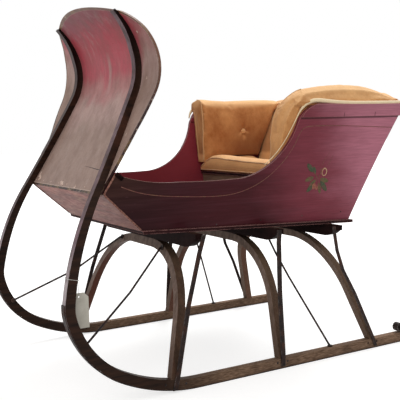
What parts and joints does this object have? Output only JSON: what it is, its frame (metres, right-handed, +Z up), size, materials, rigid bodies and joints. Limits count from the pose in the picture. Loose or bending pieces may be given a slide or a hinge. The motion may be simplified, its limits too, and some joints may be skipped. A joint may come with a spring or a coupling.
{
  "type": "horse drawn cutter sleigh",
  "caption": "One-seat horse drawn cutter sleigh: bentwood runners rise into a curled dash, a flared painted body stands on arched benches, with a tan upholstered seat.",
  "frame": {"origin": "on the ground under the middle of the sleigh's length and width", "axes": "+X is forward, towards the dash; +Y is the sleigh's left; +Z is up"},
  "size_m": [1.5277, 0.9424, 1.371],
  "materials": {
    "runner_wood": "worn dark paint over ash",
    "arch_wood": "worn dark paint over ash",
    "crossbar_wood": "dark paint",
    "iron": "dark forged iron with light rust",
    "body_paint": "old maroon paint on board",
    "base_paint": "old dark maroon paint on board",
    "toe_paint": "faded salmon paint on board",
    "dash_paint": "faded rose paint on bent board",
    "binding": "dark edge binding",
    "mohair": "tan mohair plush",
    "riser_cloth": "olive brown cloth",
    "tag_paper": "blank grey card",
    "tag_string": "thin white cotton string"
  },
  "bodies": {
    "root": {"runner_left": "runner_wood", "runner_right": "runner_wood", "shoe_left": "iron", "shoe_right": "iron", "arch_front": "arch_wood", "arch_middle": "arch_wood", "arch_rear": "arch_wood", "crossbar_front": "crossbar_wood", "crossbar_middle": "crossbar_wood", "crossbar_rear": "crossbar_wood", "stay_front_left": "iron", "stay_front_right": "iron", "stay_middle_left": "iron", "stay_middle_right": "iron", "stay_rear_left": "iron", "stay_rear_right": "iron", "brace_front_left": "iron", "brace_front_right": "iron", "brace_rear_left": "iron", "brace_rear_right": "iron", "base_board": "base_paint", "side_panel_left": "body_paint", "side_panel_right": "body_paint", "back_panel": "body_paint", "toe_panel": "toe_paint", "rim_moulding_left": "body_paint", "rim_moulding_right": "body_paint", "rim_moulding_back": "body_paint", "dash_panel": "dash_paint", "dash_binding": "binding", "seat_board": "base_paint", "seat_riser": "riser_cloth", "seat_cushion": "mohair", "back_cushion": "mohair", "wing_cushion_left": "mohair", "wing_cushion_right": "mohair", "hang_tag": "tag_paper", "tag_string": "tag_string"}
  },
  "joints": []
}
